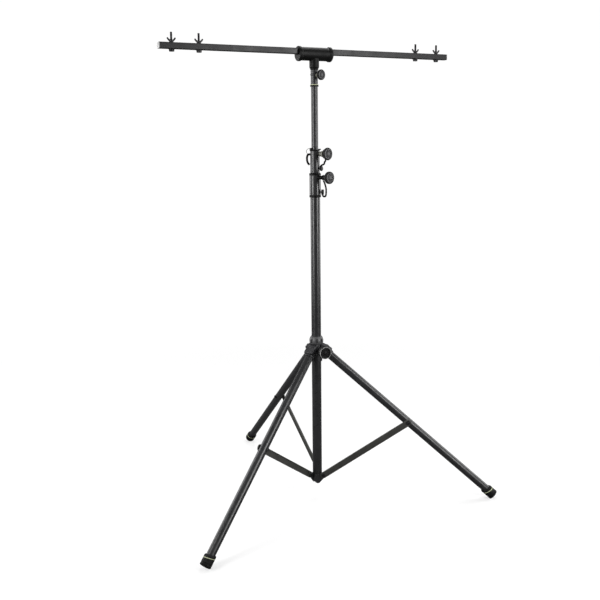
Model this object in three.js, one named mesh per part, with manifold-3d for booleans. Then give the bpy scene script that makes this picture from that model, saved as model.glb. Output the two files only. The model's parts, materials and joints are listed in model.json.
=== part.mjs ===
// A lighting stand: a three-section telescopic column on a folding tripod, carrying a T-bar.
// Millimetres, +Z up. Heights below are above the floor; the whole stand is then lowered so that
// the origin is the centre of the column's flat lower end. +X runs along the T-bar.
import * as THREE from 'three';
import { mergeVertices } from 'three/addons/utils/BufferGeometryUtils.js';
import Module from 'manifold-3d';

// ---- Driving dimensions -------------------------------------------------------------------

const GAP = 0.3;                      // clearance between neighbouring pieces
const SLIDE = 0.4;                    // clearance of a tube, sleeve or pin that slides
const WALL = 1.5;                     // wall of every round steel tube
const ROUND = 24;                     // sides of a large round
const SMALL_ROUND = 10;               // sides of a small round
const DOME_STEPS = 4;                 // rings in a leg cap's rounded top

const BASE_RADIUS = 19;               // the three column sections, outside
const MIDDLE_RADIUS = 16;
const TOP_RADIUS = 13;
const COLUMN_FOOT = 54.6;             // flat lower end of the column
const BASE_BOTTOM = 98;
const BASE_TOP = 1300;
const MIDDLE_BOTTOM = 160;
const MIDDLE_TOP = 1390;
const TOP_BOTTOM = 428;
const TOP_TOP = 1672;

// Each housing has a boss for its knob's stud. Boss lengths are distances from the column's axis.
const LOWER_CLAMP = { bottom: 1233, top: 1326, radius: 22, knobHeight: 1309, bossRadius: 8, bossEnd: 38 };
const UPPER_CLAMP = { bottom: 1326.6, top: 1414, radius: 18.2, knobHeight: 1398, bossRadius: 8, bossEnd: 30 };
const SOCKET = { bottom: 1657, top: 1709, radius: 15.5, knobHeight: 1690, bossRadius: 6.5, bossEnd: 22 };
const SOCKET_RING = { radius: 15.8, height: 6.7 };
const CLAMP_AZIMUTH = -72;            // degrees from +X, where the three upper knobs point
const HUB_KNOB_AZIMUTH = -90;         // midway between the two front legs
const PIN_ROD = 3;                    // radius of a safety pin
const LOWER_PIN = { height: 1253, azimuth: -48, tip: MIDDLE_RADIUS + 0.5, head: 26, end: 35 };
const UPPER_PIN = { height: 1343, azimuth: -55, tip: TOP_RADIUS + 0.5, head: 23, end: 32 };
const TETHER = 2.2;                   // radius of a pin's tether

// Knobs: stud tip, neck start, disc back and disc front are distances from the column's axis.
const LOWER_KNOB = { tip: 16.6, neck: 38.3, back: 69.5, front: 82, radius: 23.5, neckRadius: 7.5 };
const UPPER_KNOB = { tip: 13.6, neck: 30.3, back: 60, front: 72, radius: 24, neckRadius: 8 };
const SOCKET_KNOB = { tip: 12.6, neck: 22.3, back: 30.5, front: 41, radius: 19.5, neckRadius: 6 };
const HUB_KNOB = { tip: 19.5, neck: 46.3, back: 62, front: 80, radius: 25, neckRadius: 9 };

const LEGS = [['right', -30], ['rear', 90], ['left', 210]];
const LEG_RADIUS = 16;
const LEG_ANGLE = THREE.MathUtils.degToRad(48.55);   // a leg from the vertical, spread
const LEG_PIVOT = { r: 44, z: 612.1 };               // in the hub
const FOOT_DISTANCE = 903.5;                         // pivot to the centre of the foot's end
const FOOT_RADIUS = 21;
const FOOT_LENGTH = 50;
const FOOT_SOLE = 7.5;                               // rubber under the tube's end
const RING_GROOVE = { bottom: 14.4, top: 11.6, depth: 1.6 };   // below the foot's upper end
const FOOT_SLANT = THREE.MathUtils.degToRad(17);     // of the foot's upper end and ring
const LEG_TUBE_START = 10.8;
const LEG_CAP = { dome: 18.5, skirt: 19.5, skirtStart: 9, skirtEnd: 15, cheek: 16.5, plugEnd: 40 };
const BRACE_PIVOT = 433.4;                           // down the leg, from the hub pivot
const BRACE_BASE = { r: 26, z: 95.7 };               // on the bottom fitting
const STRIP = { width: 26, near: 16.5, far: 21.5, wall: 1.5 };   // braces: channels beside the legs
const EAR = { outer: -STRIP.near + GAP, inner: -STRIP.near + GAP + 6, radius: 10 };
const BRACE_ACROSS = LEG_PIVOT.r + BRACE_PIVOT * Math.sin(LEG_ANGLE) - BRACE_BASE.r;
const BRACE_UP = LEG_PIVOT.z - BRACE_PIVOT * Math.cos(LEG_ANGLE) - BRACE_BASE.z;
const BRACE_SPAN = Math.hypot(BRACE_ACROSS, BRACE_UP);
const BRACE_ANGLE = Math.atan2(BRACE_ACROSS, BRACE_UP);
const BOLT = 4;                                      // radius of every pivot bolt
const HEX = { radius: 7, height: 4.5 };              // its head and nut

const HUB = { bottom: 578, top: 650, bore: BASE_RADIUS + SLIDE, radius: 23, knobHeight: 627 };
const HUB_BOSS = { radius: 10, end: 46 };
const LUG = { radius: 9, half: 5, rise: 6 };         // the hub's lug in the slot of a leg's cap
// The hub's cover over a leg's cap: half its width, inside of its cheeks, room for the cap, outside.
const HOOD = { half: 19.8, cheek: 16.8, room: 20.4, skin: 22.6, boltRoom: 8.3 };
const COLLAR = { top: 681, foot: 25, belly: 28, neck: 21.5 };

const BAR = { half: 600, side: 22, wall: 2, height: 1775.6 };
const HEAD = { half: 70, radius: 24.5, collar: 27.5, collarWidth: 12, height: 1767 };
const STEM = { radius: 18.7, bottom: 1712.5 };
const SPIGOT = { radius: 12, bottom: 1677, top: 1735 };
const FIXTURE_BOLTS = [-555, -455, 455, 555];        // along the T-bar
const STUD_HEIGHT = 35;                              // a fixture bolt above the bar
const FIXTURE_HEX = { radius: 10, height: 8.2 };     // its head under the bar

// ---- Finishes -----------------------------------------------------------------------------

function finish(color, roughness, metalness) {
  return new THREE.MeshStandardMaterial({ color, roughness, metalness, flatShading: true });
}

const POWDER_COAT = finish(0x3c3e41, 0.5, 0.3);
const CAST_ALLOY = finish(0x4a4b4e, 0.6, 0.4);
const GREY_PLASTIC = finish(0x6b6c6e, 0.6, 0);
const BLACK_PLASTIC = finish(0x232425, 0.55, 0);
const KNOB_PLASTIC = finish(0x3a3b3e, 0.5, 0);
const RUBBER = finish(0x1c1d1d, 0.85, 0);
const RING_PLASTIC = finish(0xb7bd5a, 0.5, 0);
const DARK_STEEL = finish(0x2a2b2d, 0.4, 0.8);
const CORD = finish(0x161616, 0.8, 0);

// ---- Solids -------------------------------------------------------------------------------

const wasm = await Module();
wasm.setup();

function signedVolume(points, triangles) {
  const [a, b, c] = [new THREE.Vector3(), new THREE.Vector3(), new THREE.Vector3()];
  let six = 0;
  for (let i = 0; i < triangles.length; i += 3) {
    a.fromArray(points, 3 * triangles[i]);
    b.fromArray(points, 3 * triangles[i + 1]);
    c.fromArray(points, 3 * triangles[i + 2]);
    six += a.dot(b.cross(c));
  }
  return six / 6;
}

// A closed three.js geometry as a solid, with its faces turned outward.
function toSolid(geometry) {
  geometry.deleteAttribute('normal');
  geometry.deleteAttribute('uv');
  const merged = mergeVertices(geometry);
  const vertProperties = new Float32Array(merged.getAttribute('position').array);
  const index = merged.getIndex().array;
  const kept = [];
  for (let i = 0; i < index.length; i += 3) {
    const [a, b, c] = [index[i], index[i + 1], index[i + 2]];
    if (a !== b && b !== c && c !== a) kept.push(a, b, c);
  }
  if (signedVolume(vertProperties, kept) < 0) kept.reverse();
  const triVerts = new Uint32Array(kept);
  return new wasm.Manifold(new wasm.Mesh({ numProp: 3, vertProperties, triVerts }));
}

function toGeometry(solid) {
  const { vertProperties, triVerts } = solid.getMesh();
  const geometry = new THREE.BufferGeometry();
  geometry.setAttribute('position', new THREE.BufferAttribute(vertProperties, 3));
  geometry.setIndex(new THREE.BufferAttribute(triVerts, 1));
  geometry.computeVertexNormals();
  return geometry;
}

function mesh(name, solid, material) {
  const piece = new THREE.Mesh(toGeometry(solid), material);
  piece.name = name;
  return piece;
}

// A solid of revolution about Z from a profile of [radius, height] points.
function turned(profile, sides = ROUND) {
  const points = profile.map(([r, z]) => new THREE.Vector2(r, z));
  return toSolid(new THREE.LatheGeometry(points, sides).rotateX(Math.PI / 2));
}

function rod(radius, bottom, top, sides = SMALL_ROUND) {
  return turned([[0, bottom], [radius, bottom], [radius, top], [0, top]], sides);
}

function hollow(profile, sides = ROUND) {
  return turned([...profile, profile[0]], sides);
}

function pipe(outer, inner, bottom, top, sides = ROUND) {
  return hollow([[inner, bottom], [outer, bottom], [outer, top], [inner, top]], sides);
}

function box(x0, x1, y0, y1, z0, z1) {
  const block = new THREE.BoxGeometry(x1 - x0, y1 - y0, z1 - z0);
  return toSolid(block.translate((x0 + x1) / 2, (y0 + y1) / 2, (z0 + z1) / 2));
}

// A flat plate whose outline is drawn in X and Z, between two values of Y.
function plate(shape, yFrom, yTo, curveSegments = 12) {
  const options = { depth: yTo - yFrom, bevelEnabled: false, curveSegments };
  const slab = new THREE.ExtrudeGeometry(shape, options);
  return toSolid(slab.rotateX(Math.PI / 2).translate(0, yTo, 0));
}

function outline(points) {
  return new THREE.Shape(points.map(([x, z]) => new THREE.Vector2(x, z)));
}

function shifted(solid, x, y, z) {
  return solid.transform(new THREE.Matrix4().makeTranslation(x, y, z).elements);
}

// Turns a solid built along +Z so that it lies along +Y, centred on a point of the X-Z plane.
function across(solid, x = 0, z = 0) {
  return shifted(solid.transform(new THREE.Matrix4().makeRotationX(-Math.PI / 2).elements), x, 0, z);
}

// Turns a solid built along +Z so that it points outward from the column at an azimuth and height.
function radial(solid, azimuth, height) {
  const place = new THREE.Matrix4().makeTranslation(0, 0, height);
  place.multiply(new THREE.Matrix4().makeRotationZ(THREE.MathUtils.degToRad(azimuth)));
  place.multiply(new THREE.Matrix4().makeRotationY(Math.PI / 2));
  return solid.transform(place.elements);
}

function aroundColumn(solid, azimuth) {
  const angle = THREE.MathUtils.degToRad(azimuth);
  return solid.transform(new THREE.Matrix4().makeRotationZ(angle).elements);
}

function join(solids) {
  return solids.reduce((all, one) => all.add(one));
}

function cut(solid, ...tools) {
  return tools.reduce((left, tool) => left.subtract(tool), solid);
}

// A soft cord along a smooth curve through points.
function cord(points, radius) {
  const path = new THREE.CatmullRomCurve3(points.map((p) => new THREE.Vector3(...p)));
  const section = new THREE.Shape().absarc(0, 0, radius, 0, 2 * Math.PI);
  const options = { steps: 12, extrudePath: path, curveSegments: 2, bevelEnabled: false };
  return toSolid(new THREE.ExtrudeGeometry(section, options));
}

// A point given by its distance from the column's axis, azimuth in degrees and height.
function polar(r, azimuth, z) {
  const angle = THREE.MathUtils.degToRad(azimuth);
  return [r * Math.cos(angle), r * Math.sin(angle), z];
}

// ---- Column -------------------------------------------------------------------------------

// A hole through a wall on one side of the column, for a pin or a stud.
function sideHole(radius, azimuth, height) {
  return radial(rod(radius, BOLT, 2 * BASE_RADIUS + SLIDE), azimuth, height);
}

function pinHole(pin) {
  return sideHole(PIN_ROD + SLIDE, pin.azimuth, pin.height);
}

function baseTube() {
  const tube = pipe(BASE_RADIUS, BASE_RADIUS - WALL, BASE_BOTTOM + GAP, BASE_TOP);
  return cut(tube, pinHole(LOWER_PIN));
}

// The cast foot of the column: a spigot inside the base tube and three ears beside its cone.
function bottomFitting() {
  const cone = { tip: 7, top: 69 };
  const cup = { radius: BASE_RADIUS - WALL - GAP, top: 135, bore: 12, floor: 100 };
  const body = turned([
    [0, COLUMN_FOOT], [cone.tip, COLUMN_FOOT], [BASE_RADIUS, cone.top], [BASE_RADIUS, BASE_BOTTOM],
    [cup.radius, BASE_BOTTOM], [cup.radius, cup.top], [0, cup.top],
  ]);
  const { r, z } = BRACE_BASE;
  const { inner, outer, radius } = EAR;
  const web = outline([[0, cone.top], [12, cone.top], [r + 7, z - 7], [r, z + 2], [0, z + 2]]);
  const eye = across(rod(radius, outer, inner, 16), r, z);
  const hole = across(rod(BOLT + GAP, outer - 1, inner + 1), r, z);
  const ear = cut(join([plate(web, outer, inner), eye]), hole);
  const ears = LEGS.map(([, azimuth]) => aroundColumn(ear, azimuth));
  return cut(join([body, ...ears]), rod(cup.bore, cup.floor, cup.top + 1, ROUND));
}

// A clamp or socket: a sleeve over one tube, a smaller neck for what slides in it, and a stud boss.
function housing({ bottom, top, radius, knobHeight, bossRadius, bossEnd }, bore, neck, shoulder, chamfer) {
  const body = hollow([
    [bore, bottom], [radius, bottom], [radius, top - 2 * chamfer], [radius - chamfer, top],
    [neck, top], [neck, shoulder], [bore, shoulder],
  ]);
  const boss = radial(rod(bossRadius, neck + 1.5, bossEnd), CLAMP_AZIMUTH, knobHeight);
  return cut(join([body, boss]), sideHole(BOLT + GAP, CLAMP_AZIMUTH, knobHeight));
}

function lowerClampHousing() {
  const shoulder = BASE_TOP + 2 * GAP;
  const clamp = housing(LOWER_CLAMP, BASE_RADIUS + SLIDE, MIDDLE_RADIUS + SLIDE, shoulder, 2.5);
  return cut(clamp, pinHole(LOWER_PIN));
}

function middleTube() {
  const tube = pipe(MIDDLE_RADIUS, MIDDLE_RADIUS - WALL, MIDDLE_BOTTOM, MIDDLE_TOP);
  return cut(tube, pinHole(UPPER_PIN));
}

// A plastic guide plugged into the lower end of a sliding tube and running in the tube outside it.
function tubeGuide(tubeRadius, outerBore, tubeBottom, inner) {
  const plug = { radius: tubeRadius - WALL - GAP, top: tubeBottom + 20 };
  const flange = { radius: outerBore - GAP, bottom: tubeBottom - 12, top: tubeBottom - GAP };
  return hollow([
    [inner, flange.bottom], [flange.radius, flange.bottom], [flange.radius, flange.top],
    [plug.radius, flange.top], [plug.radius, plug.top], [inner, plug.top],
  ]);
}

function upperClampHousing() {
  const shoulder = MIDDLE_TOP + 2 * GAP;
  const clamp = housing(UPPER_CLAMP, MIDDLE_RADIUS + SLIDE, TOP_RADIUS + SLIDE, shoulder, 1.5);
  return cut(clamp, pinHole(UPPER_PIN));
}

// The sleeve on top of the column that takes the T-head's spigot.
function topSocket() {
  return housing(SOCKET, TOP_RADIUS + GAP, SPIGOT.radius + SLIDE, TOP_TOP + 2, 0.8);
}

function socketRing() {
  const top = SOCKET.bottom - GAP;
  return pipe(SOCKET_RING.radius, TOP_RADIUS + GAP, top - SOCKET_RING.height, top);
}

// A clamping knob with its moulded-in stud.
function knob({ tip, neck, back, front, radius, neckRadius }, azimuth, height) {
  const edge = 1.5;
  const profile = [
    [0, tip], [BOLT, tip], [BOLT, neck], [neckRadius, neck], [neckRadius + 3, back],
    [radius - edge, back], [radius, back + edge], [radius, front - edge], [radius - edge, front],
    [0, front],
  ];
  return radial(turned(profile, 20), azimuth, height);
}

// A safety pin: a rod through the clamp's wall with a head outside it.
function safetyPin({ azimuth, height, tip, head }, grip) {
  const shank = rod(PIN_ROD, tip, head + 1);
  return radial(join([shank, shifted(grip, 0, 0, head)]), azimuth, height);
}

function lowerSafetyPin() {
  const thick = LOWER_PIN.end - LOWER_PIN.head;
  return safetyPin(LOWER_PIN, box(-10, 10, -5, 5, 0, thick));
}

function upperSafetyPin() {
  const thick = UPPER_PIN.end - UPPER_PIN.head;
  const grip = turned([[0, 0], [7, 0], [9.5, 2], [9.5, thick - 2], [7.5, thick], [0, thick]], 20);
  return safetyPin(UPPER_PIN, grip);
}

// Each tether hangs in a loop beside the clamp, from under the knob's neck to the pin's head.
function lowerTether() {
  const neck = LOWER_CLAMP.knobHeight - LOWER_KNOB.neckRadius - 6;
  const { azimuth, height } = LOWER_PIN;
  return cord([
    polar(47, CLAMP_AZIMUTH + 2, neck), polar(50, CLAMP_AZIMUTH + 10, height + 20),
    polar(49, azimuth - 14.5, height), polar(43, azimuth - 7, height - 17.5),
    polar(34, azimuth, height - 20),
  ], TETHER);
}

function upperTether() {
  const neck = UPPER_CLAMP.knobHeight - UPPER_KNOB.neckRadius - 7;
  const { azimuth, height } = UPPER_PIN;
  return cord([
    polar(45, CLAMP_AZIMUTH + 1, neck), polar(46, CLAMP_AZIMUTH + 6, neck - 13),
    polar(40, azimuth - 5, height + 20), polar(30, azimuth, height + 14),
  ], TETHER);
}

// ---- Hub ----------------------------------------------------------------------------------

// One arm of the hub: a lug with an eye for the leg pivot, under a hood with a cheek on each side.
// The hood's edge slopes so that it stays clear of the leg's cap as the leg swings.
function hubArm() {
  const { r, z } = LEG_PIVOT;
  const start = HUB.bore + 1;
  const { radius, half, rise } = LUG;
  const eye = across(rod(radius, -half, half, 16), r, z);
  const lug = join([eye, box(start, r, -half, half, z - rise, z + rise)]);
  const nose = [29, 45, 61].map((degrees) => {
    const angle = THREE.MathUtils.degToRad(degrees);
    return [r + HOOD.skin * Math.cos(angle), z + HOOD.skin * Math.sin(angle)];
  });
  const hood = plate(outline([
    [start, z - 5], [r - 8, z - 5], [r + 8, z + 2.2], ...nose,
    [r + 1, z + 29.5], [r - 7, z + 31], [r - 14, z + 35], [start, HUB.top],
  ]), -HOOD.half, HOOD.half);
  const room = across(rod(HOOD.room, -HOOD.cheek, HOOD.cheek, 20), r, z);
  const boltRoom = across(rod(HOOD.boltRoom, -HOOD.half - 1, HOOD.half + 1, 12), r, z);
  return cut(join([lug, cut(hood, room, boltRoom)]), across(rod(BOLT + GAP, -20, 20), r, z));
}

function hubCasting() {
  const { bottom, top, bore, radius, knobHeight } = HUB;
  const sleeve = pipe(radius, bore, bottom, top);
  const boss = radial(rod(HUB_BOSS.radius, bore + 1, HUB_BOSS.end, 16), HUB_KNOB_AZIMUTH, knobHeight);
  const arm = hubArm();
  const arms = LEGS.map(([, azimuth]) => aroundColumn(arm, azimuth));
  const passage = rod(bore, bottom - 1, top + 1, ROUND);
  const thread = radial(rod(BOLT + GAP, BOLT, HUB_BOSS.end + 1), HUB_KNOB_AZIMUTH, knobHeight);
  return cut(join([sleeve, boss, ...arms]), passage, thread);
}

function hubCollar() {
  const bottom = HUB.top + GAP;
  return hollow([
    [HUB.bore, bottom], [COLLAR.foot, bottom], [COLLAR.belly, bottom + 8], [COLLAR.belly, bottom + 19],
    [COLLAR.foot, COLLAR.top - 5], [COLLAR.neck, COLLAR.top], [HUB.bore, COLLAR.top],
  ]);
}

// A bolt with its head and nut, lying along Y between two faces.
function boltAndNut(from, to, x, z) {
  const shank = rod(BOLT, from - GAP, to + GAP);
  const nut = rod(HEX.radius, from - GAP - HEX.height, from - GAP, 6);
  const head = rod(HEX.radius, to + GAP, to + GAP + HEX.height, 6);
  return across(join([shank, nut, head]), x, z);
}

// ---- Leg, hanging straight down from its pivot at the origin ------------------------------

function crossHole(z = 0) {
  return across(rod(BOLT + GAP, -2 * BASE_RADIUS, 2 * BASE_RADIUS), 0, z);
}

function legTube() {
  const tube = pipe(LEG_RADIUS, LEG_RADIUS - WALL, -FOOT_DISTANCE + FOOT_SOLE + GAP, -LEG_TUBE_START);
  return cut(tube, crossHole(-BRACE_PIVOT));
}

// The leg's top: a rounded cap with a plug in the tube and a slot that the hub's lug swings in.
function legCap() {
  const { dome, skirt, skirtStart, skirtEnd, cheek, plugEnd } = LEG_CAP;
  const plug = LEG_RADIUS - WALL - GAP;
  const bore = LEG_RADIUS + GAP;
  const tubeEnd = -LEG_TUBE_START + GAP;
  const curve = [[0, dome]];
  for (let i = 1; i <= DOME_STEPS; i++) {
    const angle = (i / DOME_STEPS) * (Math.PI / 2);
    curve.push([dome * Math.sin(angle), dome * Math.cos(angle)]);
  }
  const body = turned([
    ...curve, [dome, -6], [skirt, -skirtStart], [skirt, -skirtEnd], [bore, -skirtEnd], [bore, tubeEnd],
    [plug, tubeEnd], [plug, -plugEnd], [0, -plugEnd],
  ]);
  const flats = [[cheek, 30], [-30, -cheek]].map(([from, to]) => box(-30, 30, from, to, -9.5, 20));
  const slotHalf = LUG.half + 0.5;
  const slot = [across(rod(LUG.radius + 0.8, -slotHalf, slotHalf, 16))];
  for (let degrees = -4; degrees <= 54; degrees += 14.5) {
    const swing = new THREE.Matrix4().makeRotationY(THREE.MathUtils.degToRad(degrees));
    const sweep = box(-40, 0, -slotHalf, slotHalf, -LUG.rise - 0.8, LUG.rise + 0.8);
    slot.push(sweep.transform(swing.elements));
  }
  return cut(body, ...flats, join(slot), crossHole());
}

function legPlacement() {
  const place = new THREE.Matrix4().makeTranslation(LEG_PIVOT.r, 0, LEG_PIVOT.z);
  return place.multiply(new THREE.Matrix4().makeRotationY(-LEG_ANGLE));
}

// Slants everything above the sole, so that the foot's upper end and ring lie closer to level.
function slanted(solid) {
  const sole = -FOOT_DISTANCE + FOOT_SOLE + 1;
  return solid.warp((vertex) => {
    if (vertex[2] > sole) vertex[2] -= Math.tan(FOOT_SLANT) * (vertex[0] + FOOT_RADIUS);
  });
}

// A rubber cap over the leg's end, with a groove for its ring and a flat where it meets the floor.
function footCap() {
  const end = -FOOT_DISTANCE;
  const top = end + FOOT_LENGTH;
  const groove = { bottom: top - RING_GROOVE.bottom, top: top - RING_GROOVE.top };
  const waist = FOOT_RADIUS - RING_GROOVE.depth;
  const bore = LEG_RADIUS + GAP;
  const body = turned([
    [0, end], [FOOT_RADIUS, end], [FOOT_RADIUS, groove.bottom], [waist, groove.bottom],
    [waist, groove.top], [FOOT_RADIUS, groove.top], [FOOT_RADIUS, top - 5],
    [FOOT_RADIUS - 2.5, top], [bore, top], [bore, end + FOOT_SOLE], [0, end + FOOT_SOLE],
  ]);
  const reach = LEG_PIVOT.r + FOOT_DISTANCE * Math.sin(LEG_ANGLE);
  const floor = box(reach - 80, reach + 80, -60, 60, -60, 0);
  return cut(slanted(body), floor.transform(legPlacement().invert().elements));
}

function footRing() {
  const top = -FOOT_DISTANCE + FOOT_LENGTH - RING_GROOVE.top - GAP;
  const bottom = -FOOT_DISTANCE + FOOT_LENGTH - RING_GROOVE.bottom + GAP;
  return slanted(pipe(FOOT_RADIUS + 0.4, FOOT_RADIUS - RING_GROOVE.depth + GAP, bottom, top));
}

// The leg's half of the brace pivot: it ends just short of the strip beside the leg.
function bracePivotBolt() {
  const shank = rod(BOLT, -STRIP.near + GAP, LEG_RADIUS + 0.8);
  const head = rod(HEX.radius, LEG_RADIUS + 0.5, LEG_RADIUS + 0.5 + HEX.height, 6);
  return across(join([shank, head]), 0, -BRACE_PIVOT);
}

// ---- Brace, standing straight up from its lower pivot at the origin -----------------------

function brace() {
  const { far, near, wall } = STRIP;
  const half = STRIP.width / 2;
  const shape = new THREE.Shape();
  shape.absarc(0, BRACE_SPAN, half, 0, Math.PI);
  shape.absarc(0, 0, half, Math.PI, 2 * Math.PI);
  const strip = plate(shape, -far, -near);
  const hollow = box(wall - half, half - wall, wall - far, 1 - near, half + 4, BRACE_SPAN - half - 4);
  return cut(strip, hollow, crossHole(), crossHole(BRACE_SPAN));
}

// The strip's half of the same pivot: a stub in the strip's hole under a domed nut.
function bracePivotNut() {
  const face = -STRIP.far - GAP;
  const { radius } = HEX;
  const stub = rod(BOLT, face - 1, -STRIP.near);
  const nut = turned([[0, face - 6], [4, face - 5.5], [6.5, face - 3], [radius, face], [0, face]], 12);
  return across(join([stub, nut]), 0, BRACE_SPAN);
}

// ---- T-bar and its head -------------------------------------------------------------------

function alongX(solid, height) {
  return shifted(solid.transform(new THREE.Matrix4().makeRotationY(Math.PI / 2).elements), 0, 0, height);
}

function tHead() {
  const { half, radius, collar, collarWidth, height } = HEAD;
  const inner = half - collarWidth;
  const barrel = alongX(turned([
    [0, -half], [collar - 2, -half], [collar, -half + 2], [collar, -inner], [radius, -inner],
    [radius, inner], [collar, inner], [collar, half - 2], [collar - 2, half], [0, half],
  ]), height);
  const stem = turned([
    [0, STEM.bottom], [STEM.radius - 3, STEM.bottom], [STEM.radius, STEM.bottom + 5],
    [STEM.radius, height], [0, height],
  ]);
  const side = BAR.side / 2 + GAP;
  const slot = box(-half - 1, half + 1, -side, side, BAR.height - side, BAR.height + side);
  const bore = rod(SPIGOT.radius + GAP, STEM.bottom - 1, SPIGOT.top + GAP, ROUND);
  return cut(join([barrel, stem]), slot, bore);
}

function tBar() {
  const { half, side, wall, height } = BAR;
  const out = side / 2;
  const inn = out - wall;
  const skin = box(-half, half, -out, out, height - out, height + out);
  const core = box(-half - 1, half + 1, -inn, inn, height - inn, height + inn);
  const holes = FIXTURE_BOLTS.map((x) => shifted(rod(BOLT + GAP, height - 20, height + 20), x, 0, 0));
  return cut(skin, core, ...holes);
}

function barCap(side) {
  const { half, height } = BAR;
  const out = BAR.side / 2;
  const plug = out - BAR.wall - GAP;
  const x = (a, b) => (side > 0 ? [a, b] : [-b, -a]);
  const face = box(...x(half + GAP, half + GAP + 3), -out, out, height - out, height + out);
  const core = box(...x(half - 16, half + 1), -plug, plug, height - plug, height + plug);
  return join([face, core]);
}

function fixtureBolt(x) {
  const under = BAR.height - BAR.side / 2 - GAP;
  const shank = rod(BOLT, under - 1, BAR.height + BAR.side / 2 + STUD_HEIGHT);
  const head = rod(FIXTURE_HEX.radius, under - FIXTURE_HEX.height, under, 6);
  return shifted(join([shank, head]), x, 0, 0);
}

function wingNut(x) {
  const hub = { radius: 7.5, height: 9 };
  const wing = outline([[3, 1], [7, 1], [15, 10], [16.5, 13.5], [15, 16], [12.5, 16], [10, 13.5], [3, 7]]);
  const wings = [0, 180].map((azimuth) => aroundColumn(plate(wing, -1.6, 1.6), azimuth));
  const middle = turned([[0, 0], [hub.radius, 0], [hub.radius, 2], [6, hub.height], [0, hub.height]], 12);
  const nut = cut(join([middle, ...wings]), rod(BOLT + GAP, -1, 20));
  return shifted(nut, x, 0, BAR.height + BAR.side / 2 + GAP);
}

// ---- Assembly -----------------------------------------------------------------------------

function addColumn(stand) {
  const middleBore = MIDDLE_RADIUS - WALL;
  stand.add(
    mesh('base_tube', baseTube(), POWDER_COAT),
    mesh('bottom_fitting', bottomFitting(), CAST_ALLOY),
    mesh('lower_clamp_housing', lowerClampHousing(), GREY_PLASTIC),
    mesh('lower_clamp_knob', knob(LOWER_KNOB, CLAMP_AZIMUTH, LOWER_CLAMP.knobHeight), KNOB_PLASTIC),
    mesh('lower_safety_pin', lowerSafetyPin(), DARK_STEEL),
    mesh('lower_tether', lowerTether(), CORD),
    mesh('middle_tube', middleTube(), POWDER_COAT),
    mesh('middle_tube_guide', tubeGuide(MIDDLE_RADIUS, BASE_RADIUS - WALL, MIDDLE_BOTTOM, 11), BLACK_PLASTIC),
    mesh('upper_clamp_housing', upperClampHousing(), GREY_PLASTIC),
    mesh('upper_clamp_knob', knob(UPPER_KNOB, CLAMP_AZIMUTH, UPPER_CLAMP.knobHeight), KNOB_PLASTIC),
    mesh('upper_safety_pin', upperSafetyPin(), DARK_STEEL),
    mesh('upper_tether', upperTether(), CORD),
    mesh('top_tube', pipe(TOP_RADIUS, TOP_RADIUS - WALL, TOP_BOTTOM, TOP_TOP), POWDER_COAT),
    mesh('top_tube_guide', tubeGuide(TOP_RADIUS, middleBore, TOP_BOTTOM, 8), BLACK_PLASTIC),
    mesh('top_socket', topSocket(), CAST_ALLOY),
    mesh('socket_ring', socketRing(), RING_PLASTIC),
    mesh('socket_knob', knob(SOCKET_KNOB, CLAMP_AZIMUTH, SOCKET.knobHeight), KNOB_PLASTIC),
  );
}

function addHub(stand) {
  stand.add(
    mesh('hub_casting', hubCasting(), CAST_ALLOY),
    mesh('hub_collar', hubCollar(), GREY_PLASTIC),
    mesh('hub_knob', knob(HUB_KNOB, HUB_KNOB_AZIMUTH, HUB.knobHeight), KNOB_PLASTIC),
  );
}

function legGroup(side) {
  const leg = new THREE.Group();
  leg.position.set(LEG_PIVOT.r, 0, LEG_PIVOT.z);
  leg.rotation.y = -LEG_ANGLE;
  leg.add(
    mesh(`leg_tube_${side}`, legTube(), POWDER_COAT),
    mesh(`leg_cap_${side}`, legCap(), CAST_ALLOY),
    mesh(`foot_cap_${side}`, footCap(), RUBBER),
    mesh(`foot_ring_${side}`, footRing(), RING_PLASTIC),
    mesh(`brace_pivot_bolt_${side}`, bracePivotBolt(), DARK_STEEL),
  );
  return leg;
}

function braceGroup(side) {
  const group = new THREE.Group();
  group.position.set(BRACE_BASE.r, 0, BRACE_BASE.z);
  group.rotation.y = BRACE_ANGLE;
  group.add(
    mesh(`brace_${side}`, brace(), POWDER_COAT),
    mesh(`brace_pivot_nut_${side}`, bracePivotNut(), DARK_STEEL),
  );
  return group;
}

function addLeg(stand, side, azimuth) {
  const sector = new THREE.Group();
  sector.rotation.z = THREE.MathUtils.degToRad(azimuth);
  const hubBolt = boltAndNut(-LEG_CAP.cheek, LEG_CAP.cheek, LEG_PIVOT.r, LEG_PIVOT.z);
  const bottomBolt = boltAndNut(-STRIP.far, EAR.inner, BRACE_BASE.r, BRACE_BASE.z);
  sector.add(
    legGroup(side),
    braceGroup(side),
    mesh(`hub_pivot_bolt_${side}`, hubBolt, DARK_STEEL),
    mesh(`bottom_pivot_bolt_${side}`, bottomBolt, DARK_STEEL),
  );
  stand.add(sector);
}

function addHead(stand) {
  stand.add(
    mesh('t_head', tHead(), BLACK_PLASTIC),
    mesh('t_head_spigot', rod(SPIGOT.radius, SPIGOT.bottom, SPIGOT.top, ROUND), DARK_STEEL),
    mesh('t_bar', tBar(), POWDER_COAT),
    mesh('bar_cap_left', barCap(-1), GREY_PLASTIC),
    mesh('bar_cap_right', barCap(1), GREY_PLASTIC),
  );
  FIXTURE_BOLTS.forEach((x, i) => stand.add(
    mesh(`fixture_bolt_${i + 1}`, fixtureBolt(x), DARK_STEEL),
    mesh(`wing_nut_${i + 1}`, wingNut(x), DARK_STEEL),
  ));
}

const stand = new THREE.Group();
stand.position.z = -COLUMN_FOOT;
addColumn(stand);
addHub(stand);
LEGS.forEach(([side, azimuth]) => addLeg(stand, side, azimuth));
addHead(stand);

export default stand;
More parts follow.
